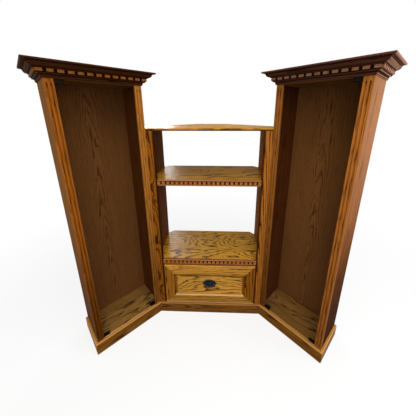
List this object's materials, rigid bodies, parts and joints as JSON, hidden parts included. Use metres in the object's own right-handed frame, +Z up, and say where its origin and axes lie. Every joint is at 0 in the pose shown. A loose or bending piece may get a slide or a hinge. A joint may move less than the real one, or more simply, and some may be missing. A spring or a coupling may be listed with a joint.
{
  "type": "entertainment center",
  "caption": "Corner entertainment center in oak: two tall glass-door display towers set at an angle beside a lower open unit with shelves and a drawer.",
  "frame": {"origin": "on the floor, at the middle of the outline in plan", "axes": "+Z up; the front faces -Y; +X to the right as seen from the front"},
  "size_m": [2.133, 1.0824, 1.98],
  "materials": {
    "oak_frame": "satin",
    "oak_side": "gloss",
    "oak_panel": "satin",
    "oak_board": "gloss",
    "oak_cornice": "satin",
    "oak_plinth": "satin",
    "oak_drawer": "satin",
    "plain_wood": "matte",
    "smoked_glass": "gloss",
    "black_metal": "satin",
    "black_nylon": "matte",
    "dark_bronze": "satin",
    "slide_steel": "satin"
  },
  "bodies": {
    "cabinet": {"left_outer_side": "oak_side", "left_inner_side": "oak_side", "left_back": "oak_panel", "left_floor": "oak_board", "left_ceiling": "oak_panel", "left_outer_pilaster": "oak_frame", "left_inner_pilaster": "oak_frame", "left_header": "oak_frame", "left_cornice_front": "oak_cornice", "left_cornice_returns": "oak_cornice", "left_dentils": "oak_frame", "left_plinth_front": "oak_plinth", "left_plinth_side": "oak_plinth", "left_bushes": "black_nylon", "left_catch": "black_nylon", "right_outer_side": "oak_side", "right_inner_side": "oak_side", "right_back": "oak_panel", "right_floor": "oak_board", "right_ceiling": "oak_panel", "right_outer_pilaster": "oak_frame", "right_inner_pilaster": "oak_frame", "right_header": "oak_frame", "right_cornice_front": "oak_cornice", "right_cornice_returns": "oak_cornice", "right_dentils": "oak_frame", "right_plinth_front": "oak_plinth", "right_plinth_side": "oak_plinth", "right_bushes": "black_nylon", "right_catch": "black_nylon", "top_board": "oak_board", "left_side_panel": "oak_panel", "right_side_panel": "oak_panel", "left_stile": "oak_frame", "right_stile": "oak_frame", "middle_shelf": "oak_board", "shelf_moulding": "oak_frame", "deck": "oak_board", "deck_moulding": "oak_frame", "small_dentils": "oak_frame", "centre_floor": "oak_panel", "centre_back": "oak_panel", "centre_plinth": "oak_plinth", "slide_blocks": "plain_wood", "fixed_slides": "slide_steel", "joining_screws": "slide_steel"},
    "left_door": {"left_glass": "smoked_glass", "left_clips": "black_metal"},
    "right_door": {"right_glass": "smoked_glass", "right_clips": "black_metal"},
    "drawer": {"moving_slides": "slide_steel", "drawer_front_frame": "oak_drawer", "drawer_front_panel": "oak_drawer", "drawer_box_front": "plain_wood", "drawer_box_sides": "plain_wood", "drawer_box_back": "plain_wood", "drawer_bottom": "plain_wood", "pull_plate": "dark_bronze", "pull_screws": "slide_steel"},
    "bail": {"pull_bail": "dark_bronze"}
  },
  "joints": [
    {"name": "left_door_hinge", "type": "hinge", "parent": "cabinet", "child": "left_door", "pos_m": [-0.77964, -0.38508, 0], "axis": [0, 0, -1], "range_deg": [0, 110]},
    {"name": "right_door_hinge", "type": "hinge", "parent": "cabinet", "child": "right_door", "pos_m": [0.77964, -0.38508, 0], "axis": [0, 0, 1], "range_deg": [0, 110]},
    {"name": "drawer_slide", "type": "slide", "parent": "cabinet", "child": "drawer", "axis": [0, -1, 0], "range_m": [0, 0.26]},
    {"name": "bail_swing", "type": "hinge", "parent": "drawer", "child": "bail", "pos_m": [0, -0.07183, 0.2965], "axis": [-1, 0, 0], "range_deg": [0, 85]}
  ]
}
